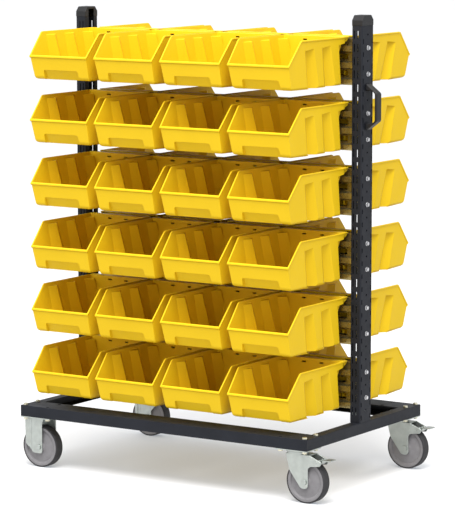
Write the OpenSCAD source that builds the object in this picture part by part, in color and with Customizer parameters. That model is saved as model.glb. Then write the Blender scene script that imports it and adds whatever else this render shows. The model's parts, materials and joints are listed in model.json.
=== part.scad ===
// Double-sided mobile bin cart: a castered base frame, two slotted uprights,
// bin rails between them and bins that hang from both sides of every rail.
// The origin is on the floor, below the middle of the cart's outline.

/* [Base frame] */
// Length of the base frame
base_l = 1002; // [980:1:1200]
// Depth of the base frame
base_d = 656; // [600:1:800]
// Height of the base rails
base_h = 33; // [28:0.5:50]
// Width of the front and rear base rails
long_rail_w = 80; // [78:1:110]
// Width of the side base rails
side_rail_w = 32; // [30:1:50]
// Sheet thickness of the base rails
base_t = 2.5; // [1.5:0.1:4]

/* [Uprights] */
// Width of an upright across its web
post_w = 64; // [62:0.5:80]
// Depth of an upright's flanges
post_d = 34.5; // [32:0.5:50]
// Width of the lips turned in from the flanges
post_lip = 18; // [14:0.5:22]
// Sheet thickness of the uprights
post_t = 2.5; // [1.5:0.1:3]
// Outside bend radius of the uprights
post_r = 4; // [3.6:0.1:6]
// Pitch of the holes and slots up an upright
pitch = 37.5; // [36:0.1:40]
// Height of the lowest rail bolt above the base frame
first_bolt = 71.5; // [66:0.5:90]
// Height of an upright above its highest rail bolt
post_over = 63; // [50:1:90]
// Diameter of the holes up the middle of the web
web_hole_d = 6.6; // [6.4:0.1:8]
// Length of the slots beside the web holes
web_slot_l = 14; // [8:0.5:20]
// Width of the slots beside the web holes
web_slot_w = 5; // [3:0.5:6]
// Distance of the web slots from the middle of the web
web_slot_out = 25; // [20:0.5:25.5]
// Length of the flange slots
flange_slot_l = 23; // [15:0.5:28]
// Width of the flange slots
flange_slot_w = 3.5; // [3:0.5:6]
// Distance of the first flange slot from the flange's edge
flange_slot_edge = 8.5; // [6:0.5:10]
// Distance between the two flange slots
flange_slot_gap = 11.5; // [9:0.5:13]

/* [Upright caps] */
// Height of a cap
cap_h = 30; // [24:0.5:45]
// Height of a cap's straight sides
cap_straight = 16; // [10:0.5:20]
// Width of a cap's sloping shoulders
cap_slope_w = 12; // [4:0.5:18]
// Wall of a cap
cap_wall = 3; // [2:0.1:4]
// Height of the band over a cap's opening
cap_band = 7; // [5:0.5:9]
// Depth of the tongue that plugs into the upright
cap_plug = 25; // [10:1:40]

/* [Bin rails] */
// Number of bin rows
rows = 6; // [6:1:6]
// Hole pitches from one row to the next
row_steps = 5; // [5:1:5]
// Half depth of a rail over its ridges
rail_out = 27.5; // [26:0.1:28]
// Half depth of a rail between its ridges
rail_in = 13; // [11:0.5:14]
// Distance of a rail's top below the bin rims
rail_drop = 5; // [4:0.5:8]
// Distance of the ledge under the tongues below the bin rims
ledge_drop = 26; // [24:0.5:28]
// Sheet thickness of a rail
rail_t = 1.5; // [1:0.1:2]
// Height of a ridge's face
ridge_h = 16; // [12:0.5:17]
// Height that a ridge's slope takes
ridge_slope = 4; // [2:0.5:5]
// Distance from one ridge to the next
ridge_pitch = 48; // [46:0.5:50]
// Thickness of a rail's end plate
end_t = 3; // [2:0.5:5]
// Width of a hanging tongue
tongue_w = 50; // [30:1:60]
// Distance of a tongue from the middle of its bin
tongue_x = 45; // [40:1:52]
// Width of a window in the rail
window_w = 58; // [40:1:60]
// Distance between the windows
window_pitch = 70; // [68:1:74]
// Height of a window
window_h = 16; // [8:0.5:17]

/* [Bins] */
// Number of bin columns
cols = 4; // [4:1:4]
// Distance from one bin to the next
col_pitch = 230; // [222:0.5:232]
// Width of a bin below its rim
bin_w = 207; // [200:0.5:209]
// Height of a bin
bin_h = 138; // [132:0.5:143]
// Height of a bin's rim above the middle of its rail
rim_rise = 69; // [68:0.1:70]
// Distance of a bin's nose from the middle of the cart
bin_reach = 342; // [325:0.5:360]
// Length of the slope from a bin's rim to its nose
slope_l = 62; // [50:0.5:75]
// Height of the slope from a bin's rim to its nose
nose_drop = 67.5; // [55:0.5:75]
// Distance that the front wall rakes back below the nose
front_rake = 21; // [12:0.5:28]
// Wall of a bin
wall = 2.5; // [2:0.1:3]
// Narrowing of each side from rim to floor
draft = 6.5; // [4:0.1:8]
// Radius between the front wall and the floor
toe_r = 16; // [8:0.5:20]
// Radius between the side walls and the floor
edge_r = 8; // [6:0.5:14]
// Radius between the rim and the slope
lip_r = 13; // [8:0.5:16]
// Overhang of the rim bead
bead = 1.8; // [1:0.1:2.5]
// Height of the rim bead
bead_h = 4.5; // [3.5:0.1:6]
// Height of the bead along the nose
nose_bead_h = 6.5; // [4:0.1:9]
// Length of the spacer ribs behind a bin
rib_l = 10; // [8:0.1:12]
// Height of the spacer ribs
rib_h = 42; // [30:1:50]
// Width of the finger recess at the front
recess_w = 120; // [90:1:130]
// Height of the finger recess
recess_h = 28; // [24:0.5:36]
// Depth of the finger recess at its top edge
recess_in = 5; // [3:0.5:8]
// Depth that the finger recess gains down to the floor
recess_run = 18; // [10:0.5:22]
// Radius at the finger recess's upper corners
recess_r = 5; // [3:0.5:8]

/* [Bin flutes] */
// Distance from one side flute to the next
flute_pitch = 92; // [90:0.5:94]
// Distance of the first flute's lower end behind the nose
flute_first = 108; // [102:0.5:112]
// Forward lean of a flute's front edge
flute_lean = 21; // [14:0.5:24]
// Half width of a flute for each millimetre of its depth
flute_spread = 1.2; // [1:0.05:1.4]
// Depth of the flutes at their top
flute_top_in = 20; // [16:0.5:22]
// Depth of the flutes at the floor
flute_low_in = 25.5; // [22:0.5:27]
// Distance of the first flute's top below the rim
flute_drop = 30.5; // [28:0.5:34]
// Height that each flute's top gains on the one before it
flute_rise = 4; // [0:0.5:4.5]
// Rise of a flute's ceiling towards the rear, in degrees
flute_tilt = 6; // [0:0.5:10]
// Rise of a flute's ceiling towards the inside, in degrees
flute_ceiling = 32; // [20:1:34]

/* [Bin hook] */
// Thickness of the hanging lip
lip_t = 3; // [2.5:0.1:3.4]
// Half width of the hook
hook_half = 76; // [72:0.5:90]
// Depth of the hook behind the tongue
hook_h = 15; // [10:0.5:16]
// Thickness of the hook
hook_t = 2.5; // [2:0.1:3]
// Distance of the hook's back from the middle of the cart
hook_y = 18; // [17:0.1:18.5]
// Distance of the tongue's front face from the middle of the cart
tongue_y = 24; // [23.5:0.1:25]
// Depth of the lip's side gussets at the rear wall
gusset_h = 16; // [14:0.5:17]
// Depth of the lip's side gussets at their end
gusset_end = 7; // [4:0.5:8]
// Width of the slots in the rear wall
rear_slot_w = 13; // [8:0.5:16]
// Height of the slots in the rear wall
rear_slot_h = 4; // [2:0.5:6]
// Distance of the rear slots from the middle of the bin
rear_slot_x = 30; // [24:0.5:50]
// Distance of the rear slots below the rim
rear_slot_drop = 9.5; // [8:0.5:12]

/* [Handle] */
// Distance that the handle stands out
handle_out = 39; // [34:0.5:50]
// Width of the handle
handle_w = 26; // [16:0.5:30]
// Thickness of the grip
grip_t = 9; // [7:0.5:12]
// Height of a handle leg
handle_leg = 19; // [16:0.5:22]
// Length of the sloping shoulders
handle_shoulder = 26; // [20:0.5:32]
// Hole pitches between the handle screws
handle_steps = 3; // [3:1:3]
// Web hole that carries the lower handle screw
handle_level = 21; // [21:1:21]

/* [Casters] */
// Wheel diameter
wheel_d = 125; // [120:0.5:128]
// Tread width
tread_w = 32; // [28:0.5:34]
// Overall height of a caster
caster_h = 155; // [153:0.5:160]
// Length of a caster plate
plate_l = 105; // [100:0.5:110]
// Width of a caster plate
plate_w = 80; // [78:0.5:86]
// Thickness of a caster plate
plate_t = 3; // [2:0.1:4]
// Spacing of the plate holes along the cart
plate_hole_l = 80; // [78:0.5:84]
// Spacing of the plate holes across the cart
plate_hole_w = 60; // [58:0.5:62]
// Trail of the swivel casters
trail = 33.5; // [30:0.5:38]
// Thickness of a fork leg
leg_t = 3.5; // [2.5:0.1:4]
// Thickness of the tyre over the rim
tyre_t = 3.5; // [3.2:0.1:6]
// Width of a wheel hub
hub_w = 36; // [35:0.5:38]
// Axle diameter
axle_d = 10; // [8:0.5:12]
// Kingpin diameter
king_d = 12; // [10:0.5:14]
// Brake pedal width
pedal_w = 32; // [26:0.5:34]
// Brake pedal reach from the kingpin
pedal_reach = 116; // [112:0.5:130]

/* [Hidden] */
$fn = 48;
run_gap = 0.05;
air_gap = 0.3;
eps = 0.01;
bolt_d = 6;
bolt_flange_d = 14;
bolt_head_h = 6;
bolt_flange_h = 1.5;
bolt_hex = 10;
m8_d = 8;
m8_hole = 9;
m8_hex = 13;
m8_head_h = 5.5;
m8_nut_h = 6;

base_z = caster_h + base_h;
post_x = base_l/2;
rail_top = rim_rise - rail_drop;
// Hole levels between the middle of a rail and its bolts, as many as its end plate has room for
bolt_step = max(1, floor((rail_top - bolt_d)/pitch));
top_level = row_steps*(rows - 1) + 2*bolt_step;
post_h = first_bolt + top_level*pitch + post_over;
caster_x = base_l/2 - plate_l/2;
caster_y = base_d/2 - plate_w/2;
wheel_r = wheel_d/2;
cart_x = -(pedal_reach - wheel_r)/2;

bin_back = rail_out + rib_l + air_gap;
bin_nose = bin_reach - bead;
bin_foot = bin_nose - front_rake;
bin_lip = bin_nose - slope_l;
rake = front_rake/(bin_h - nose_drop);
half_w = bin_w/2;

// Heights of the ridge faces' upper edges from the middle of the rail, top ridge first
ridge_z = [for (i = [0:2]) rim_rise - ledge_drop - i*ridge_pitch];
rail_low = ridge_z[2] - ridge_h;
handle_screw_in = 12;
handle_screw_d = 10;
handle_screw_h = 4;
foot_bolt_in = 12;
foot_bolt_up = 12;
bracket_t = 3;
bracket_h = 30;

plate_z = caster_h - plate_t;
race_h = 6;
head_h = 5;
fork_z = plate_z - head_h - race_h;
crown_t = 4;
crown_in = 28;
crown_l = 76;
leg_in = hub_w/2 + 0.5;
leg_out = leg_in + leg_t;
pedal_pin = [72, 123];
pedal_pin_d = 6;
axle_head_d = 16;
axle_head_h = 4;
king_head_d = 22;
king_head_h = 4;
king_collar_h = 3;
left_x = -caster_x;
right_x = caster_x + trail;

bin_names = [for (r = [1:rows]) for (c = [1:cols]) str("front_bin_row_", r, "_col_", c)];
rear_names = [for (r = [1:rows]) str("rear_bins_row_", r)];

zinc = [0.74, 0.77, 0.74];
steel = [0.8, 0.8, 0.82];
anthracite = [0.26, 0.265, 0.285];
black = [0.07, 0.07, 0.075];
yellow = [0.98, 0.8, 0.1];
rim_grey = [0.43, 0.42, 0.43];
tyre_grey = [0.2, 0.2, 0.21];

// Height of a web hole, counted in pitches from the lowest rail bolt
function level_z(k) = base_z + first_bolt + k*pitch;
// Middle of the rail that carries a row, with row 1 at the top
function rail_z(r) = level_z(row_steps*(rows - r) + bolt_step);
function rim_z(r) = rail_z(r) + rim_rise;
function col_x(c) = (c - (cols + 1)/2)*col_pitch;

function unit(v) = v/norm(v);
function turned(v, a) = [v[0]*cos(a) - v[1]*sin(a), v[0]*sin(a) + v[1]*cos(a)];
// Arc of radius r that rounds the corner p between the points a and b
function fillet(a, p, b, r, n) =
    let (u = unit(a - p), v = unit(b - p), half = acos(u*v)/2)
    let (c = p + unit(u + v)*r/sin(half), s = p + u*r/tan(half) - c)
    let (way = sign(cross(s, p + v*r/tan(half) - c)))
    [for (i = [0:n]) c + turned(s, way*(180 - 2*half)*i/n)];
// Outline through [x, y, radius] corners
function rounded(pts, n = 6) =
    let (m = len(pts), flat = [for (p = pts) [p[0], p[1]]])
    [for (i = [0:m - 1]) each pts[i][2] > 0
        ? fillet(flat[(i + m - 1) % m], flat[i], flat[(i + 1) % m], pts[i][2], n)
        : [flat[i]]];

// Plate with its outline in the XZ plane, between y0 and y1
module slab_y(points, y0, y1) {
    translate([0, y1, 0])
        rotate([90, 0, 0])
            linear_extrude(y1 - y0)
                polygon(points);
}

// Plate with its outline in the YZ plane, between x0 and x1
module slab_x(points, x0, x1) {
    translate([x0, 0, 0])
        rotate([90, 0, 90])
            linear_extrude(x1 - x0)
                polygon(points);
}

module at_cart() {
    translate([cart_x, 0, 0])
        children();
}

module both_sides_y() {
    children();
    mirror([0, 1, 0])
        children();
}

module both_ends() {
    children();
    mirror([1, 0, 0])
        children();
}

// Long base rail: channel open to the inside, closed by plates at both ends
module long_rail() {
    difference() {
        translate([-base_l/2, -base_d/2, caster_h])
            cube([base_l, long_rail_w, base_h]);
        translate([-base_l/2 + base_t, -base_d/2 + base_t, caster_h + base_t])
            cube([base_l - 2*base_t, long_rail_w, base_h - 2*base_t]);
        for (end = [-1, 1], i = [-1, 1], j = [-1, 1])
            translate([end*caster_x + i*plate_hole_l/2, -caster_y + j*plate_hole_w/2, caster_h - 1])
                cylinder(h = base_h + 2, d = m8_hole);
    }
}

module base_long_rails() {
    color(anthracite)
        both_sides_y()
            long_rail();
}

module base_side_rails() {
    inner_d = base_d - 2*long_rail_w;
    color(anthracite)
        both_ends()
            difference() {
                translate([post_x - side_rail_w, -inner_d/2, caster_h])
                    cube([side_rail_w, inner_d, base_h]);
                translate([post_x - side_rail_w - base_t, -inner_d/2 - 1, caster_h + base_t])
                    cube([side_rail_w, inner_d + 2, base_h - 2*base_t]);
            }
}

// Bent corner of a sheet, filling the quadrant towards +x and +y of the bend's centre
module bend(r, t) {
    intersection() {
        difference() {
            circle(r);
            circle(r - t);
        }
        square(r + 1);
    }
}

// Lipped channel section: the web lies at x = 0 and the flanges run towards -x
module channel_section(w, d, t, r, lip) {
    translate([-t, -w/2 + r])
        square([t, w - 2*r]);
    for (s = [0, 1])
        mirror([0, s]) {
            translate([-d + r, w/2 - t])
                square([d - 2*r, t]);
            translate([-d, w/2 - lip])
                square([t, lip - r]);
            translate([-r, w/2 - r])
                bend(r, t);
            translate([-d + r, w/2 - r])
                mirror([1, 0])
                    bend(r, t);
        }
}

module upright() {
    first = -1;
    last = top_level + 1;
    slot_x = [post_d - flange_slot_edge, post_d - flange_slot_edge - flange_slot_gap];
    difference() {
        translate([post_x, 0, base_z])
            linear_extrude(post_h)
                channel_section(post_w, post_d, post_t, post_r, post_lip);
        for (k = [first:last])
            translate([post_x + 1, 0, level_z(k)])
                rotate([0, -90, 0])
                    cylinder(h = post_t + 2, d = web_hole_d);
        for (k = [first:last], x = slot_x)
            translate([post_x - x - flange_slot_w/2, -post_w/2 - 1, level_z(k) - flange_slot_l/2])
                cube([flange_slot_w, post_w + 2, flange_slot_l]);
        for (k = [first:last], s = [-1, 1])
            translate([post_x - post_t - 1, s*web_slot_out - web_slot_w/2,
                       level_z(k - 0.5) - web_slot_l/2])
                cube([post_t + 2, web_slot_w, web_slot_l]);
        translate([post_x - foot_bolt_in, post_w/2 + 1, base_z + foot_bolt_up])
            rotate([90, 0, 0])
                cylinder(h = post_t + 2, d = m8_hole);
    }
}

module uprights() {
    color(anthracite)
        both_ends()
            upright();
}

// Cap outline across the upright, drawn inwards by inset
function cap_outline(inset) = let (w = post_w/2 - inset, s = cap_slope_w)
    [[-w, -eps], [w, -eps], [w, cap_straight - inset/2], [w - s, cap_h - inset],
     [-w + s, cap_h - inset], [-w, cap_straight - inset/2]];

module upright_cap() {
    translate([0, 0, base_z + post_h]) {
        difference() {
            slab_x([for (p = cap_outline(0)) [p[0], max(p[1], 0)]], post_x - post_d, post_x);
            translate([0, 0, -eps])
                slab_x(cap_outline(cap_wall), post_x - post_d + cap_wall, post_x - cap_wall);
            translate([post_x - post_d - 1, post_lip - post_w/2, -1])
                cube([cap_wall + 2, post_w - 2*post_lip, cap_h - cap_band + 1]);
        }
        translate([post_x - post_t - air_gap - cap_wall, -post_w/4, -cap_plug])
            cube([cap_wall, post_w/2, cap_plug + cap_h - 2*cap_wall]);
        translate([post_x - post_t - air_gap - cap_wall, -post_w/4, cap_wall])
            cube([post_t + air_gap + cap_wall - eps, post_w/2, cap_wall]);
    }
}

module upright_caps() {
    color(black)
        both_ends()
            upright_cap();
}

// One half of the rail section, from its top to its bottom, drawn inwards by inset
function rail_half(inset) = concat(
    [[rail_in - inset, rail_top - inset], [rail_in - inset, ridge_z[0] - inset]],
    [[rail_out - inset, ridge_z[0] - inset], [rail_out - inset, ridge_z[0] - ridge_h + inset],
     [rail_in - inset, ridge_z[0] - ridge_h - ridge_slope + inset]],
    [[rail_in - inset, ridge_z[1] + ridge_slope - inset], [rail_out - inset, ridge_z[1] - inset],
     [rail_out - inset, ridge_z[1] - ridge_h + inset],
     [rail_in - inset, ridge_z[1] - ridge_h - ridge_slope + inset]],
    [[rail_in - inset, ridge_z[2] + ridge_slope - inset], [rail_out - inset, ridge_z[2] - inset],
     [rail_out - inset, rail_low + inset]]);

function rail_section(inset) = let (half = rail_half(inset), m = len(half))
    concat(half, [for (i = [m - 1:-1:0]) [-half[i][0], half[i][1]]]);

module bin_rail() {
    end_x = post_x - post_d;
    difference() {
        slab_x(rail_section(0), -end_x, end_x);
        slab_x(rail_section(rail_t), -end_x + end_t, end_x - end_t);
        for (s = [-1, 1], k = [-bolt_step, bolt_step])
            translate([s*end_x, 0, k*pitch])
                rotate([0, 90, 0])
                    cylinder(h = 2*end_t + 2, d = bolt_d + 2*run_gap, center = true);
        for (c = [1:cols], i = [-1:1], gap = [0, 1])
            translate([col_x(c) + i*window_pitch - window_w/2, -rail_out,
                       (ridge_z[gap] - ridge_h + ridge_z[gap + 1])/2 - window_h/2])
                cube([window_w, 2*rail_out, window_h]);
    }
    for (c = [1:cols], i = [-1, 1])
        both_sides_y()
            translate([col_x(c) + i*tongue_x - tongue_w/2, tongue_y - rail_t, ridge_z[0] - eps])
                cube([tongue_w, rail_t, rim_rise - lip_t - ridge_z[0] + eps]);
}

module bin_rails() {
    color(zinc)
        for (r = [1:rows])
            translate([0, 0, rail_z(r)])
                bin_rail();
}

// Bridge handle on the web of the upright at the swivel end
module push_handle() {
    mid_z = level_z(handle_level + handle_steps/2);
    half = handle_steps*pitch/2 + handle_leg/2;
    straight = half - handle_shoulder;
    in_x = handle_out - grip_t;
    outer = [[0, -half, 0], [5, -half, 3], [handle_out, -straight, 9], [handle_out, straight, 9],
             [5, half, 3], [0, half, 0]];
    gap_z = half - handle_leg;
    gap = [[-1, -gap_z, 0], [in_x - 9, -gap_z, 6], [in_x, -straight + 1, 5], [in_x, straight - 1, 5],
           [in_x - 9, gap_z, 6], [-1, gap_z, 0]];
    color(black)
        translate([post_x, 0, mid_z])
            difference() {
                slab_y(rounded(outer), -handle_w/2, handle_w/2);
                slab_y(rounded(gap), -handle_w/2 - 1, handle_w/2 + 1);
                for (s = [-1, 1])
                    translate([-1, 0, s*handle_steps*pitch/2])
                        rotate([0, 90, 0])
                            cylinder(h = handle_screw_in + 2, d = bolt_d + 2*run_gap);
            }
}

// Screws that hold the handle from inside the upright
module handle_screws() {
    color(steel)
        for (k = [0, handle_steps])
            translate([post_x - post_t, 0, level_z(handle_level + k)])
                rotate([0, 90, 0]) {
                    cylinder(h = post_t + handle_screw_in, d = bolt_d);
                    translate([0, 0, -handle_screw_h])
                        cylinder(h = handle_screw_h, d = handle_screw_d);
                }
}

module rail_bolt() {
    rotate([0, 90, 0]) {
        translate([0, 0, -post_d - end_t - 4])
            cylinder(h = post_d + end_t + 5, d = bolt_d);
        cylinder(h = bolt_flange_h, d = bolt_flange_d);
        cylinder(h = bolt_head_h, d = bolt_hex/cos(30), $fn = 6);
    }
}

module rail_bolts() {
    color(steel)
        both_ends()
            for (r = [1:rows], k = [-bolt_step, bolt_step])
                translate([post_x, 0, rail_z(r) + k*pitch])
                    rail_bolt();
}

// U-shaped bracket inside the foot of an upright
module foot_bracket() {
    in_w = post_w/2 - post_t - air_gap;
    x0 = post_x - post_d + post_r + air_gap;
    x1 = post_x - post_r - air_gap;
    translate([0, 0, base_z])
        difference() {
            union() {
                translate([x0, -in_w, 0])
                    cube([x1 - x0, 2*in_w, bracket_t]);
                for (s = [0, 1])
                    mirror([0, s, 0])
                        translate([x0, in_w - bracket_t, 0])
                            cube([x1 - x0, bracket_t, bracket_h]);
            }
            translate([post_x - foot_bolt_in, in_w + 1, foot_bolt_up])
                rotate([90, 0, 0])
                    cylinder(h = bracket_t + 2, d = m8_hole);
        }
}

module foot_brackets() {
    color(zinc)
        both_ends()
            foot_bracket();
}

// Bolt through the rear flange at the foot of an upright, with its nut inside the bracket
module foot_bolts() {
    color(zinc)
        both_ends()
            translate([post_x - foot_bolt_in, post_w/2, base_z + foot_bolt_up])
                rotate([-90, 0, 0])
                    hex_bolt(post_t + air_gap + bracket_t, m8_nut_h);
}

module hex_bolt(grip, nut) {
    cylinder(h = m8_head_h, d = m8_hex/cos(30), $fn = 6);
    translate([0, 0, -grip - nut - 1.5])
        cylinder(h = grip + nut + 1.5 + eps, d = m8_d);
    translate([0, 0, -grip - nut])
        cylinder(h = nut, d = m8_hex/cos(30), $fn = 6);
}

// Outer pair of each caster is bolted from above, inner pair from below
module caster_bolts() {
    color(zinc)
        both_sides_y()
            both_ends()
                for (j = [-1, 1]) {
                    y = caster_y + j*plate_hole_w/2;
                    translate([caster_x + plate_hole_l/2, y, base_z])
                        hex_bolt(base_h + plate_t, m8_nut_h);
                    translate([caster_x - plate_hole_l/2, y, plate_z])
                        rotate([180, 0, 0])
                            hex_bolt(plate_t + base_t, m8_nut_h);
                }
}

module caster_plate() {
    difference() {
        translate([-plate_l/2, -plate_w/2, plate_z])
            cube([plate_l, plate_w, plate_t]);
        for (i = [-1, 1], j = [-1, 1])
            translate([i*plate_hole_l/2, j*plate_hole_w/2, plate_z - 1])
                cylinder(h = plate_t + 2, d = m8_hole);
    }
}

// Fork leg of a fixed caster, with the shoulder that joins it to the plate
module fixed_leg(shoulder) {
    leg = concat([[-50, plate_z + eps, 0], [-48, 70, 10], [-20, wheel_r - 19, 10], [13, wheel_r - 20, 8]],
                 shoulder);
    difference() {
        slab_y(rounded(leg), leg_in, leg_out);
        translate([0, leg_in - 1, wheel_r])
            rotate([-90, 0, 0])
                cylinder(h = leg_t + 2, d = axle_d + 2*run_gap);
    }
}

module fixed_fork() {
    inner = [[13, plate_z - 70, 10], [34, plate_z - 48, 6], [34, plate_z + eps, 0]];
    outer = [[12.5, plate_z - 20, 6], [19, plate_z + eps, 0]];
    caster_plate();
    fixed_leg(inner);
    mirror([0, 1, 0])
        fixed_leg(outer);
}

module fixed_forks() {
    color(zinc)
        both_sides_y()
            translate([-caster_x, -caster_y, 0])
                fixed_fork();
}

// Axle bolt along y, with a head at one end and a nut at the other
module axle() {
    translate([0, 0, wheel_r])
        rotate([90, 0, 0]) {
            translate([0, 0, -leg_out - axle_head_h])
                cylinder(h = 2*leg_out + 2*axle_head_h, d = axle_d);
            translate([0, 0, leg_out])
                cylinder(h = axle_head_h, d = axle_head_d);
            translate([0, 0, -leg_out - axle_head_h])
                cylinder(h = axle_head_h, d = axle_head_d/cos(30), $fn = 6);
        }
}

module fixed_axles() {
    color(zinc)
        both_sides_y()
            translate([-caster_x, -caster_y, 0])
                axle();
}

module at_swivels() {
    both_sides_y()
        translate([caster_x, -caster_y, 0])
            children();
}

// Top plate with the pressed housing of the upper ball race
module swivel_top_plate() {
    difference() {
        union() {
            caster_plate();
            translate([0, 0, plate_z - head_h])
                cylinder(h = head_h + eps, d1 = plate_w - 12, d2 = plate_w - 4);
        }
        translate([0, 0, plate_z - head_h - 1])
            cylinder(h = head_h + plate_t + 2, d = king_d + 2*run_gap);
        for (i = [-1, 1], j = [-1, 1])
            translate([i*plate_hole_l/2, j*plate_hole_w/2, plate_z - head_h - 1])
                cylinder(h = head_h + 1, d = m8_hex/cos(30) + 2);
    }
}

module swivel_top_plates() {
    color(zinc)
        at_swivels()
            swivel_top_plate();
}

module swivel_ball_races() {
    color(steel)
        at_swivels()
            translate([0, 0, fork_z])
                difference() {
                    cylinder(h = race_h, d = plate_w - 18);
                    translate([0, 0, -1])
                        cylinder(h = race_h + 2, d = plate_w - 42);
                }
}

module swivel_kingpins() {
    color(zinc)
        at_swivels() {
            low_z = fork_z - crown_t - air_gap - king_head_h;
            translate([0, 0, low_z])
                cylinder(h = caster_h - low_z, d = king_d);
            translate([0, 0, low_z])
                cylinder(h = king_head_h, d = king_head_d);
            translate([0, 0, plate_z - head_h - king_collar_h])
                cylinder(h = king_collar_h, d = king_head_d);
        }
}

// Leg of a swivel fork, with the arm that carries the brake pedal
module swivel_leg() {
    leg = [[-28, fork_z, 0], [-16, 93, 10], [22, wheel_r - 19, 14], [46, wheel_r - 20, 12],
           [45, 107, 12], [84, 112, 4], [91, 124, 5], [50, fork_z, 8]];
    difference() {
        slab_y(rounded(leg), leg_in, leg_out);
        translate([trail, leg_in - 1, wheel_r])
            rotate([-90, 0, 0])
                cylinder(h = leg_t + 2, d = axle_d + 2*run_gap);
        translate([pedal_pin[0], leg_in - 1, pedal_pin[1]])
            rotate([-90, 0, 0])
                cylinder(h = leg_t + 2, d = pedal_pin_d + 2*run_gap);
    }
}

module swivel_fork() {
    difference() {
        translate([-crown_in, -leg_in - eps, fork_z - crown_t])
            cube([crown_l, 2*leg_in + 2*eps, crown_t]);
        translate([0, 0, fork_z - crown_t - 1])
            cylinder(h = crown_t + 2, d = king_d + 2*run_gap);
    }
    both_sides_y()
        swivel_leg();
}

module front_swivel_fork() {
    color(zinc)
        translate([caster_x, -caster_y, 0])
            swivel_fork();
}

module rear_swivel_fork() {
    color(zinc)
        translate([caster_x, caster_y, 0])
            swivel_fork();
}

module front_swivel_axle() {
    color(zinc)
        translate([caster_x + trail, -caster_y, 0])
            axle();
}

module rear_swivel_axle() {
    color(zinc)
        translate([caster_x + trail, caster_y, 0])
            mirror([0, 1, 0])
                axle();
}

// Bent pedal with two cheeks and the pin that it tilts on
module brake_pedal() {
    t = 3;
    tip = pedal_reach;
    low = pedal_pin[1] - 6.5;
    high = pedal_pin[1] + 4.5;
    x = pedal_pin[0];
    sheet = [[x - 2, low, 0], [x + 11, low, 4], [x + 20.5, high - 0.3, 4], [tip, high, 0], [tip, high + t, 0],
             [x + 19, high + t - 0.2, 5], [x + 9.5, low + t, 3], [x - 2, low + t, 0]];
    cheek = [[x - 1.5, low + 1.5, 0], [x + 11, low + 1.5, 0], [x + 14, low + 5.5, 3], [x + 7, high + 2, 5],
             [x - 6, high + 2, 5], [x - 6, low + 5.5, 3]];
    slab_y(rounded(sheet, 4), -pedal_w/2, pedal_w/2);
    both_sides_y()
        slab_y(rounded(cheek, 4), pedal_w/2 - t, pedal_w/2);
    translate([pedal_pin[0], leg_out, pedal_pin[1]])
        rotate([90, 0, 0])
            cylinder(h = 2*leg_out, d = pedal_pin_d);
}

module front_brake_pedal() {
    color(zinc)
        translate([caster_x, -caster_y, 0])
            brake_pedal();
}

module rear_brake_pedal() {
    color(zinc)
        translate([caster_x, caster_y, 0])
            brake_pedal();
}

// Wheel centre with hub, dished discs and rim flange, turned about y
module wheel_rim() {
    rim_r = wheel_r - tyre_t;
    half = [[axle_d/2 + run_gap, 0], [axle_d/2 + run_gap, hub_w/2], [13, hub_w/2], [19, hub_w/2 - 4],
            [rim_r - 11.5, tread_w/2 - 6], [rim_r - 8.5, tread_w/2 - 1], [rim_r, tread_w/2 - 1],
            [rim_r, 0]];
    rotate([90, 0, 0])
        rotate_extrude()
            polygon(concat(half, [for (i = [len(half) - 2:-1:1]) [half[i][0], -half[i][1]]]));
}

module wheel_tyre() {
    rim_r = wheel_r - tyre_t;
    w = tread_w/2;
    tread = [[rim_r, -w, 0], [rim_r, w, 0], [wheel_r, w, 3], [wheel_r, -w, 3]];
    rotate([90, 0, 0])
        rotate_extrude()
            polygon(rounded(tread, 4));
}

module at_wheel(x, y) {
    translate([x, y, wheel_r])
        children();
}

// Side outline of a bin: rear, rim, slope, nose, front wall, toe and floor
function bin_side() = rounded([[-bin_back, 0, 0], [-bin_lip, 0, lip_r], [-bin_nose, -nose_drop, 0],
                               [-bin_foot, -bin_h, toe_r], [-bin_back, -bin_h, 0]], 4);

// Side outline of the space inside a bin, open above
function bin_space() = let (thick = wall*norm([1, rake]), up = 20)
    rounded([[-bin_back - wall, up, 0], [-bin_nose + thick - rake*(up + nose_drop), up, 0],
             [-bin_foot + thick - rake*wall, -bin_h + wall, toe_r - wall],
             [-bin_back - wall, -bin_h + wall, 0]], 4);

// Front outline of a bin, drawn inwards by inset and upwards by floor_up
function bin_front(inset, floor_up) = let (up = 20, slant = draft/bin_h)
    let (top = half_w - inset + slant*up, low = half_w - inset - draft + slant*floor_up)
    let (r = max(edge_r - inset, 1))
    rounded([[-top, up, 0], [top, up, 0], [low, -bin_h + floor_up, r], [-low, -bin_h + floor_up, r]], 3);

module bin_envelope(side, front) {
    intersection() {
        slab_x(side, -bin_w, bin_w);
        slab_y(front, -bin_reach - 100, 0);
    }
}

// V groove down a side wall, moved into the bin by the wall for the bulge inside
module flute(index, thick) {
    drop = flute_drop - index*flute_rise;
    run = bin_h - flute_drop;
    in_x = thick*norm([flute_spread, 1])/flute_spread;
    low_y = -bin_nose + flute_first + index*flute_pitch;
    top_y = low_y - flute_lean;
    wall_x = half_w - draft*flute_drop/bin_h;
    apex_top = [wall_x - flute_top_in, top_y + flute_top_in*flute_spread];
    apex_low = [half_w - draft - flute_low_in, low_y + flute_low_in*flute_spread];
    wide = 60;
    rise = wide*tan(flute_ceiling);
    intersection() {
        translate([apex_top[0], apex_top[1], -flute_drop])
            rotate([atan((apex_low[1] - apex_top[1])/run), atan((apex_top[0] - apex_low[0])/run), 0])
                translate([-in_x, 0, -1.2*run])
                    linear_extrude(1.6*run)
                        polygon([[0, 0], [wide, -wide*flute_spread], [wide, wide*flute_spread]]);
        translate([wall_x, top_y, -drop + thick/cos(flute_ceiling)])
            rotate([flute_tilt, 0, 0])
                slab_y([[-wide, -2*bin_h], [wide, -2*bin_h], [wide, -rise], [-wide, rise]], -bin_reach, bin_reach);
    }
}

module flutes(thick) {
    both_ends()
        for (i = [0:2])
            flute(i, thick);
}

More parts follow.
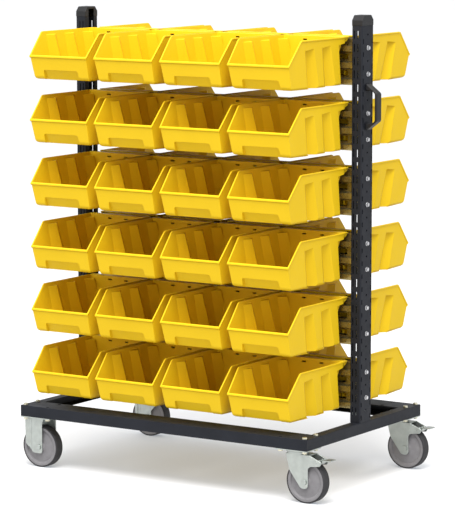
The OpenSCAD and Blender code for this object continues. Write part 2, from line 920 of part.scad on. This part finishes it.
// Finger recess across the lower front edge
module finger_recess(thick) {
    top_z = -bin_h + recess_h + thick;
    top_y = -bin_nose + rake*(bin_h - recess_h - nose_drop) + recess_in + thick;
    half = recess_w/2 + thick;
    flare = 4;
    slant = recess_run/(recess_h + thick);
    over = 5;
    r = recess_r + thick;
    intersection() {
        slab_x([[-bin_reach - 50, top_z + over], [top_y - slant*over, top_z + over],
                [top_y + recess_run, -bin_h], [top_y + recess_run, -bin_h - over],
                [-bin_reach - 50, -bin_h - over]], -half - flare, half + flare);
        slab_y(rounded([[-half, top_z, r], [half, top_z, r], [half + flare, -bin_h - over - 1, 0],
                        [-half - flare, -bin_h - over - 1, 0]], 3), -bin_reach - 100, 0);
    }
}

// Bead along the nose, the slopes and the rim, which runs on behind the rear wall as the hanging lip
module rim_bead() {
    slope = unit([-slope_l, -nose_drop]);
    turn = acos(slope*[-1, 0])/2;
    under = bead_h*[-slope[1], slope[0]];
    low = -nose_drop - nose_bead_h;
    low_y = -bin_nose + rake*nose_bead_h;
    intersection() {
        slab_x(rounded([[-hook_y, 0, 0], [-bin_lip, 0, lip_r], [-bin_nose, -nose_drop, 0],
                        [-bin_nose - bead, -nose_drop, 0], [-bin_nose - bead, low + bead, 0], [low_y, low, 0],
                        [low_y + wall, low, 0], [-bin_nose + under[0], -nose_drop + under[1], 0],
                        [-bin_lip + bead_h*tan(turn), -bead_h, lip_r - bead_h],
                        [-bin_back, -bead_h, 0], [-bin_back, -lip_t, 0], [-hook_y, -lip_t, 0]], 4), -bin_w, bin_w);
        slab_y(bin_front(-bead, 0), -bin_reach - 100, 0);
    }
}

// Hook below the lip and gussets at the lip's ends
module hook() {
    gusset_x = half_w - draft*gusset_h/bin_h;
    gusset = [[-bin_back - wall/2, -lip_t/2], [-hook_y, -lip_t/2], [-hook_y, -gusset_end],
              [-hook_y - gusset_end, -gusset_end - gusset_h/4], [-bin_back - wall/2, -gusset_h]];
    translate([-hook_half, -hook_y - hook_t, -hook_h])
        cube([2*hook_half, hook_t, hook_h - lip_t/2]);
    both_ends()
        slab_x(gusset, gusset_x - wall, gusset_x);
}

// Slots across the rear wall, in front of the tongues
module rear_slots() {
    both_ends()
        translate([rear_slot_x - rear_slot_w/2, -bin_back - 2*wall, -rear_slot_drop - rear_slot_h])
            cube([rear_slot_w, 3*wall, rear_slot_h]);
}

// One bin, its rim at z = 0 and its nose towards -y of the rail's middle
module bin() {
    rib_x = 60;
    difference() {
        union() {
            bin_envelope(bin_side(), bin_front(0, 0));
            rim_bead();
        }
        difference() {
            bin_envelope(bin_space(), bin_front(wall, wall));
            flutes(wall);
            finger_recess(wall);
        }
        flutes(0);
        finger_recess(0);
        rear_slots();
    }
    hook();
    for (s = [-1, 1])
        translate([s*rib_x - wall/2, -bin_back - eps, -bin_h])
            cube([wall, rib_l + eps, rib_h]);
}

module front_bin(r, c) {
    color(yellow)
        translate([col_x(c), 0, rim_z(r)])
            bin();
}

module rear_bins(r) {
    color(yellow)
        for (c = [1:cols])
            translate([col_x(c), 0, rim_z(r)])
                rotate([0, 0, 180])
                    bin();
}

at_cart() {
    base_long_rails();
    base_side_rails();
    uprights();
    upright_caps();
    bin_rails();
    push_handle();
    handle_screws();
    rail_bolts();
    foot_brackets();
    foot_bolts();
    caster_bolts();
    fixed_forks();
    fixed_axles();
    swivel_top_plates();
    swivel_ball_races();
    swivel_kingpins();
    front_swivel_fork();
    rear_swivel_fork();
    front_swivel_axle();
    rear_swivel_axle();
    front_brake_pedal();
    rear_brake_pedal();
    wheel_centre(left_x, -caster_y);  // front_left_rim
    wheel_centre(left_x, caster_y);  // rear_left_rim
    wheel_centre(right_x, -caster_y);  // front_right_rim
    wheel_centre(right_x, caster_y);  // rear_right_rim
    tyre(left_x, -caster_y);  // front_left_tyre
    tyre(left_x, caster_y);  // rear_left_tyre
    tyre(right_x, -caster_y);  // front_right_tyre
    tyre(right_x, caster_y);  // rear_right_tyre
    for (r = [1:rows], c = [1:cols])
        front_bin(r, c);
    for (r = [1:rows])
        rear_bins(r);
}

module wheel_centre(x, y) {
    color(rim_grey)
        at_wheel(x, y)
            wheel_rim();
}

module tyre(x, y) {
    color(tyre_grey)
        at_wheel(x, y)
            wheel_tyre();
}
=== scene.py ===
import json
import math

import bmesh
import bpy
from mathutils import Matrix, Vector

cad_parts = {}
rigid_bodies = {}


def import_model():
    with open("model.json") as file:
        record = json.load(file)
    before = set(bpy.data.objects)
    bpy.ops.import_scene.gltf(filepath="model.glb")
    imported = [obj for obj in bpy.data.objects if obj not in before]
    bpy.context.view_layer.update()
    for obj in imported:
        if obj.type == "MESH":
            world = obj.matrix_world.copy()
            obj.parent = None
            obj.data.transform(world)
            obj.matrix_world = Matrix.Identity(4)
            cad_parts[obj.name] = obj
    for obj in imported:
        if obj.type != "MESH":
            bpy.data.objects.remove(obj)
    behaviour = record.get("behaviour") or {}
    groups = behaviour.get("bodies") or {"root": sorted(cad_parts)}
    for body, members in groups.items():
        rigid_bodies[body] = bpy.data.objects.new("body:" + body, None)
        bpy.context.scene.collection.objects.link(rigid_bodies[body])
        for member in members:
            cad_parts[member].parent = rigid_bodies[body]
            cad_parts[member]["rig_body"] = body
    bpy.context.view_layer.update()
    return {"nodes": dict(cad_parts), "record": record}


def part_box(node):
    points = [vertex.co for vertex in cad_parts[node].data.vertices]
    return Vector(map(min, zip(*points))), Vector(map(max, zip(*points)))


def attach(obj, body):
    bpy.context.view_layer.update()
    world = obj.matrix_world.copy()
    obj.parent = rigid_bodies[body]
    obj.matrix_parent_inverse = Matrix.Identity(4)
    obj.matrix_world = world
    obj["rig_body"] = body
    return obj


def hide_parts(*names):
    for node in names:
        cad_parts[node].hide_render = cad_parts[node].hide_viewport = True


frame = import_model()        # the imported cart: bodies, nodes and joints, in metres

mm = 0.001
slotOf = {part["node"]: part["material_slot"] for part in frame["record"]["subparts"]}
print("frame loaded:", len(frame["nodes"]), "nodes")


# Small helpers for working on one piece at a time

meshCleaning = {"merge": 0.02, "flat": 0.5}                 # mm, degrees
edgeRules = {"angle": 32.0, "smooth": 50.0,                 # degrees
             "seamLength": 200.0, "seamGap": 0.1}           # mm


def pickOnly(piece):
    bpy.ops.object.select_all(action="DESELECT")
    piece.select_set(True)
    bpy.context.view_layer.objects.active = piece


def copyNode(nodeName, pieceName):
    piece = bpy.data.objects.new(pieceName, frame["nodes"][nodeName].data.copy())
    bpy.context.scene.collection.objects.link(piece)
    pickOnly(piece)
    bpy.ops.mesh.customdata_custom_splitnormals_clear()
    bpy.ops.object.mode_set(mode="EDIT")
    bpy.ops.mesh.select_all(action="SELECT")
    bpy.ops.mesh.remove_doubles(threshold=meshCleaning["merge"] * mm)   # the node's triangles come loose
    bpy.ops.mesh.dissolve_limited(angle_limit=math.radians(meshCleaning["flat"]))
    bpy.ops.object.mode_set(mode="OBJECT")
    return piece


def onSeam(edge, seamY):
    short = edge.calc_length() < edgeRules["seamLength"] * mm
    return short and all(abs(abs(vert.co.y) - seamY) < edgeRules["seamGap"] * mm for vert in edge.verts)


def weighEdges(piece, edges):
    sharp = math.radians(edges.get("angle", edgeRules["angle"]))
    seamY = edges.get("seam")
    shape = bmesh.new()
    shape.from_mesh(piece.data)
    weight = shape.edges.layers.float.new("bevel_weight_edge")
    for edge in shape.edges:
        folded = len(edge.link_faces) == 2 and edge.calc_face_angle() > sharp
        edge[weight] = float(folded and not (seamY and onSeam(edge, seamY)))
    shape.to_mesh(piece.data)
    shape.free()


def roundEdges(piece, edges):
    weighEdges(piece, edges)
    pickOnly(piece)
    bpy.ops.object.modifier_add(type="BEVEL")
    bevel = piece.modifiers[-1]
    bevel.width = edges["width"] * mm
    bevel.segments = edges["steps"]
    bevel.limit_method = "WEIGHT"
    bevel.use_clamp_overlap = False
    bpy.ops.object.modifier_apply(modifier=bevel.name)
    bpy.ops.object.shade_smooth_by_angle(angle=math.radians(edgeRules["smooth"]))
    bpy.ops.object.modifier_add(type="WEIGHTED_NORMAL")     # keeps the flats flat beside the round edges
    weighted = piece.modifiers[-1]
    weighted.keep_sharp = True
    bpy.ops.object.modifier_apply(modifier=weighted.name)


def dress(piece, material):
    piece.data.materials.clear()
    piece.data.materials.append(material)


def standFor(piece, nodeName):
    node = frame["nodes"][nodeName]
    dress(piece, finishes[slotOf[nodeName]])
    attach(piece, node["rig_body"])
    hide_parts(nodeName)


def mapRange(tree, source, target):
    node = tree.nodes.new("ShaderNodeMapRange")
    node.inputs["From Min"].default_value, node.inputs["From Max"].default_value = source
    node.inputs["To Min"].default_value, node.inputs["To Max"].default_value = target
    return node


# Finishes, one dictionary for each of the record's slots and one for the rails

looks = {
    "yellow_bin": {"light": (0.735, 0.487, 0.0105), "deep": (0.71, 0.467, 0.0095), "driftScale": 9.0,
                   "rough": (0.42, 0.5), "grainScale": 900.0, "grain": 0.05, "gloss": 0.14},
    "anthracite_frame": {"light": (0.0132, 0.0148, 0.0198), "deep": (0.0105, 0.0117, 0.0156), "driftScale": 14.0,
                         "rough": (0.46, 0.56), "grainScale": 1400.0, "grain": 0.16, "gloss": 0.14},
    "black_plastic": {"light": (0.011, 0.011, 0.012), "deep": (0.008, 0.008, 0.009), "driftScale": 30.0,
                      "rough": (0.42, 0.5), "grainScale": 1800.0, "grain": 0.2, "gloss": 0.3},
    "bright_steel": {"light": (0.62, 0.62, 0.63), "deep": (0.48, 0.48, 0.49), "driftScale": 160.0,
                     "rough": (0.22, 0.36), "grainScale": 900.0, "grain": 0.08, "gloss": 0.5, "metal": 1.0},
    "yellow_zinc": {"light": (0.62, 0.595, 0.47), "deep": (0.47, 0.45, 0.35), "driftScale": 140.0,
                    "rough": (0.26, 0.4), "grainScale": 900.0, "grain": 0.08, "gloss": 0.5, "metal": 1.0},
    "bright_zinc": {"light": (0.405, 0.435, 0.41), "deep": (0.345, 0.37, 0.35), "driftScale": 45.0,
                    "rough": (0.28, 0.4), "grainScale": 700.0, "grain": 0.06, "gloss": 0.5, "metal": 0.85},
    # the rails' zinc: the yellow-olive tint of its colour is a painted reflection of the shaded yellow bins
    "rail_zinc_painted_reflection": {"light": (0.4, 0.335, 0.155), "deep": (0.28, 0.23, 0.1), "driftScale": 30.0,
                  "rough": (0.24, 0.34), "grainScale": 700.0, "grain": 0.06, "gloss": 0.5, "metal": 0.9},
    "grey_rim": {"light": (0.19, 0.184, 0.19), "deep": (0.165, 0.158, 0.165), "driftScale": 60.0,
                 "rough": (0.42, 0.52), "grainScale": 1500.0, "grain": 0.12, "gloss": 0.3},
    "grey_tyre": {"light": (0.036, 0.035, 0.037), "deep": (0.028, 0.027, 0.029), "driftScale": 80.0,
                  "rough": (0.6, 0.75), "grainScale": 1100.0, "grain": 0.22, "gloss": 0.25},
}
surface = {"toneDetail": 3.0, "toneSpan": (0.35, 0.65),
           "wearScale": 4.0, "wearDetail": 4.0, "wearSpan": (0.3, 0.7),
           "grainDetail": 2.0, "grainDepth": 0.3}           # mm


def makeFinish(finishName, look):
    material = bpy.data.materials.new(finishName)
    material.use_nodes = True
    tree = material.node_tree
    shader = tree.nodes["Principled BSDF"]
    place = tree.nodes.new("ShaderNodeTexCoord")

    def noise(scale, detail):
        node = tree.nodes.new("ShaderNodeTexNoise")
        node.inputs["Scale"].default_value = scale
        node.inputs["Detail"].default_value = detail
        tree.links.new(place.outputs["Object"], node.inputs["Vector"])
        return node

    drift = noise(look["driftScale"], surface["toneDetail"])            # slow change of tone over the surface
    ramp = tree.nodes.new("ShaderNodeValToRGB")
    for stop, position, tone in zip(ramp.color_ramp.elements, surface["toneSpan"], (look["deep"], look["light"])):
        stop.position = position
        stop.color = (*tone, 1.0)
    tree.links.new(drift.outputs["Fac"], ramp.inputs["Fac"])
    tree.links.new(ramp.outputs["Color"], shader.inputs["Base Color"])

    worn = noise(look["driftScale"] * surface["wearScale"], surface["wearDetail"])      # finer change of gloss
    span = mapRange(tree, surface["wearSpan"], look["rough"])
    tree.links.new(worn.outputs["Fac"], span.inputs["Value"])
    tree.links.new(span.outputs["Result"], shader.inputs["Roughness"])

    grain = noise(look["grainScale"], surface["grainDetail"])           # moulded or powder-coated texture
    bump = tree.nodes.new("ShaderNodeBump")
    bump.inputs["Strength"].default_value = look["grain"]
    bump.inputs["Distance"].default_value = surface["grainDepth"] * mm
    tree.links.new(grain.outputs["Fac"], bump.inputs["Height"])
    tree.links.new(bump.outputs["Normal"], shader.inputs["Normal"])

    shader.inputs["Metallic"].default_value = look.get("metal", 0.0)
    shader.inputs["Specular IOR Level"].default_value = look["gloss"]
    return material


finishes = {finishName: makeFinish(finishName, look) for finishName, look in looks.items()}
for nodeName, node in frame["nodes"].items():
    dress(node, finishes[slotOf[nodeName]])
dress(frame["nodes"]["bin_rails"], finishes["rail_zinc_painted_reflection"])   # zinc plated like the forks; its yellow-olive tint and darker tone are a painted reflection of the shaded bins around it
print("finishes:", len(finishes))


# Bins: one moulding is rounded off, then copied to every place on both sides of the rails

binGrid = {"rows": 6, "cols": 4}
binEdges = {"width": 1.0, "steps": 2, "angle": 28}
fluteForm = {                                               # mm
    "top": 10.8, "ceiling": 14.5,                           # below the rim: the inner tops, and the crests' limit
    "out": 6.0,                                             # how far the crests of the front flutes stand back
}
fluteZone = {                                               # mm, where the moulding's flutes lie
    "front": -262.0, "lastFlute": -90.0,                    # along the bin, from the cart's middle
    "rearWall": -41.0, "rear": -40.0,
    "sideWall": 60.0, "crestInside": 83.0, "crest": 90.0,   # across, from the bin's middle
    "wallInside": (99.0, 101.0),
    "ends": (3.0, 32.0),                                    # below the rim
}


def middleOf(nodeName):
    low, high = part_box(nodeName)
    return (low + high) / 2


def within(value, span):
    return span[0] < value < span[1]


def shapeFlutes(piece, middle, rim):
    top = rim - fluteForm["top"] * mm
    ceiling = rim - fluteForm["ceiling"] * mm
    shape = bmesh.new()
    shape.from_mesh(piece.data)
    for vert in shape.verts:
        across = abs(vert.co.x - middle.x) / mm
        along = vert.co.y / mm
        drop = (rim - vert.co.z) / mm
        if across <= fluteZone["sideWall"] or not within(along, (fluteZone["front"], fluteZone["rear"])):
            continue
        onCrest = across < fluteZone["crest"]
        inside = across < fluteZone["crestInside"] or within(across, fluteZone["wallInside"])
        if within(drop, fluteZone["ends"]):
            if along > fluteZone["rearWall"]:               # where the last flute runs into the rear wall
                vert.co.z = top
            elif inside:                                    # slides up along the flute's own edge
                low = min((edge.other_vert(vert).co for edge in vert.link_edges), key=lambda place: place.z)
                vert.co += (vert.co - low) * ((top - vert.co.z) / (vert.co.z - low.z))
            elif onCrest:
                vert.co.z = min(vert.co.z, ceiling)
        if onCrest and along < fluteZone["lastFlute"]:
            vert.co.x += math.copysign(fluteForm["out"] * mm, vert.co.x - middle.x)
    shape.to_mesh(piece.data)
    shape.free()


def placeBin(pieceName, nodeName, move):
    mesh = masterBin.data.copy()
    mesh.name = pieceName
    mesh.transform(move)
    piece = bpy.data.objects.new(pieceName, mesh)
    bpy.context.scene.collection.objects.link(piece)
    standFor(piece, nodeName)


masterNode = "front_bin_row_1_col_1"
masterBin = copyNode(masterNode, "masterBin")
masterMiddle = middleOf(masterNode)
shapeFlutes(masterBin, masterMiddle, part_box(masterNode)[1].z)
roundEdges(masterBin, binEdges)
toAxis = Matrix.Translation((-masterMiddle.x, 0, 0))
halfTurn = Matrix.Rotation(math.pi, 4, "Z")
for row in range(1, binGrid["rows"] + 1):
    for col in range(1, binGrid["cols"] + 1):
        frontNode = f"front_bin_row_{row}_col_{col}"
        shift = middleOf(frontNode) - masterMiddle
        placeBin(f"bin_front_row_{row}_col_{col}", frontNode, Matrix.Translation(shift))
        toColumn = Matrix.Translation((masterMiddle.x + shift.x, 0, shift.z))
        placeBin(f"bin_rear_row_{row}_col_{col}", f"rear_bins_row_{row}", toColumn @ halfTurn @ toAxis)
bpy.data.objects.remove(masterBin)
print("bins:", 2 * binGrid["rows"] * binGrid["cols"])


# Metal and plastic pieces whose edges are folded, cast or moulded round

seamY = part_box("base_side_rails")[1].y       # the side rails are welded between the long ones and ground flush
softEdges = {
    "base_long_rails": {"width": 1.6, "steps": 3, "seam": seamY},
    "base_side_rails": {"width": 1.6, "steps": 3, "seam": seamY},
    "upright_caps": {"width": 1.4, "steps": 3},
    "push_handle": {"width": 2.6, "steps": 4},
    "rail_bolts": {"width": 0.5, "steps": 2},
    "handle_screws": {"width": 0.5, "steps": 2},
    "caster_bolts": {"width": 0.7, "steps": 2},
    "foot_bolts": {"width": 0.7, "steps": 2},
    "foot_brackets": {"width": 0.8, "steps": 2},
    "fixed_forks": {"width": 0.9, "steps": 2},
    "fixed_axles": {"width": 0.7, "steps": 2},
    "swivel_top_plates": {"width": 0.7, "steps": 2},
    "front_swivel_fork": {"width": 0.9, "steps": 2},
    "rear_swivel_fork": {"width": 0.9, "steps": 2},
    "front_swivel_axle": {"width": 0.7, "steps": 2},
    "rear_swivel_axle": {"width": 0.7, "steps": 2},
    "front_brake_pedal": {"width": 1.0, "steps": 3},
    "rear_brake_pedal": {"width": 1.0, "steps": 3},
    "front_left_rim": {"width": 1.6, "steps": 3},
    "front_right_rim": {"width": 1.6, "steps": 3},
    "rear_left_rim": {"width": 1.6, "steps": 3},
    "rear_right_rim": {"width": 1.6, "steps": 3},
}
legBand = {                                                 # mm, the band pressed into each leg of the fixed forks
    "wide": 14.0, "deep": 2.2, "slope": 2.2,
    "behind": 32.5, "legOut": 4.0,                          # from the wheel's middle, and from the rim's side face
    "low": 30.0, "high": 146.0,                             # above the floor
}


def pressBand(piece, rimNode, side):
    low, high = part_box(rimNode)
    middle = middleOf(rimNode)
    outward = side * ((high.y - low.y) / 2 + legBand["legOut"] * mm)
    bpy.ops.object.select_all(action="DESELECT")
    bpy.ops.mesh.primitive_cube_add(size=1)
    cutter = bpy.context.object
    for vert in cutter.data.vertices:
        flare = legBand["slope"] if vert.co.y * side > 0 else -legBand["slope"]
        halfWide = legBand["wide"] / 2 + flare
        vert.co.x = middle.x + (math.copysign(halfWide, vert.co.x) - legBand["behind"]) * mm
        vert.co.y = middle.y + outward + math.copysign(legBand["deep"] * mm, vert.co.y)
        vert.co.z = (legBand["high"] if vert.co.z > 0 else legBand["low"]) * mm
    pickOnly(piece)
    bpy.ops.object.modifier_add(type="BOOLEAN")
    press = piece.modifiers[-1]
    press.operation = "DIFFERENCE"
    press.object = cutter
    bpy.ops.object.modifier_apply(modifier=press.name)
    bpy.data.objects.remove(cutter)


for nodeName, edges in softEdges.items():
    piece = copyNode(nodeName, nodeName + "_rounded")
    if nodeName == "fixed_forks":
        for rimNode in ("front_left_rim", "rear_left_rim"):
            pressBand(piece, rimNode, -1)
            pressBand(piece, rimNode, 1)
    roundEdges(piece, edges)
    standFor(piece, nodeName)
print("rounded pieces:", len(softEdges))


# Floor, light, camera and sky

floorLook = {"size": 120.0, "tone": (0.575, 0.565, 0.56), "glow": (0.255, 0.278, 0.305), "glowStrength": 1.0,
             "rough": 0.8, "gloss": 0.1}
softbox = {"place": (1.85, -3.52, 7.06), "target": (0.0, 0.0, 0.7), "size": 4.0, "power": 710.0}
cameraView = {"place": (4.64195, -7.1764, 1.7806), "yaw": 32.91, "pitch": 7.61, "lens": 204.3, "sensor": 36.0,
              "reach": 300.0}
skyFades = {                                                # strength by height, and from front to rear
    "Z": {"from": (-0.15, 0.15), "to": (0.93, 1.54)},
    "Y": {"from": (-0.2, 0.8), "to": (1.0, 0.5)},
}


def makeFloor():
    bpy.ops.object.select_all(action="DESELECT")
    bpy.ops.mesh.primitive_plane_add(size=floorLook["size"], location=(0, 0, 0))
    floor = bpy.context.object
    floor.name = "studioFloor"
    material = bpy.data.materials.new("studioFloor")
    material.use_nodes = True
    shader = material.node_tree.nodes["Principled BSDF"]
    shader.inputs["Base Color"].default_value = (*floorLook["tone"], 1.0)
    shader.inputs["Emission Color"].default_value = (*floorLook["glow"], 1.0)
    shader.inputs["Emission Strength"].default_value = floorLook["glowStrength"]
    shader.inputs["Roughness"].default_value = floorLook["rough"]
    shader.inputs["Specular IOR Level"].default_value = floorLook["gloss"]
    dress(floor, material)
    floor.visible_diffuse = False                           # the sky's lower half lights the undersides instead


def makeLight():
    bpy.ops.object.light_add(type="AREA", location=softbox["place"])
    lamp = bpy.context.object
    lamp.name = "keySoftbox"
    lamp.data.energy = softbox["power"]
    lamp.data.size = softbox["size"]
    aim = Vector(softbox["target"]) - lamp.location
    lamp.rotation_euler = aim.to_track_quat("-Z", "Y").to_euler()


def makeCamera():
    bpy.ops.object.camera_add(location=cameraView["place"])
    camera = bpy.context.object
    camera.name = "photoCamera"
    camera.rotation_euler = (math.radians(90 - cameraView["pitch"]), 0, math.radians(cameraView["yaw"]))
    camera.data.lens = cameraView["lens"]
    camera.data.sensor_width = cameraView["sensor"]
    camera.data.clip_end = cameraView["reach"]
    camera.data.dof.use_dof = False
    bpy.context.scene.camera = camera


def makeSky():
    world = bpy.data.worlds.new("studioSky")
    world.use_nodes = True
    tree = world.node_tree
    place = tree.nodes.new("ShaderNodeTexCoord")
    split = tree.nodes.new("ShaderNodeSeparateXYZ")
    both = tree.nodes.new("ShaderNodeMath")
    both.operation = "MULTIPLY"
    background = tree.nodes["Background"]
    background.inputs["Color"].default_value = (1.0, 1.0, 1.0, 1.0)
    tree.links.new(place.outputs["Generated"], split.inputs["Vector"])
    for index, (axis, span) in enumerate(skyFades.items()):
        fade = mapRange(tree, span["from"], span["to"])
        tree.links.new(split.outputs[axis], fade.inputs["Value"])
        tree.links.new(fade.outputs["Result"], both.inputs[index])
    tree.links.new(both.outputs["Value"], background.inputs["Strength"])
    bpy.context.scene.world = world


makeFloor()
makeLight()
makeCamera()
makeSky()
bpy.context.scene.view_settings.view_transform = "Standard"
print("studio ready")
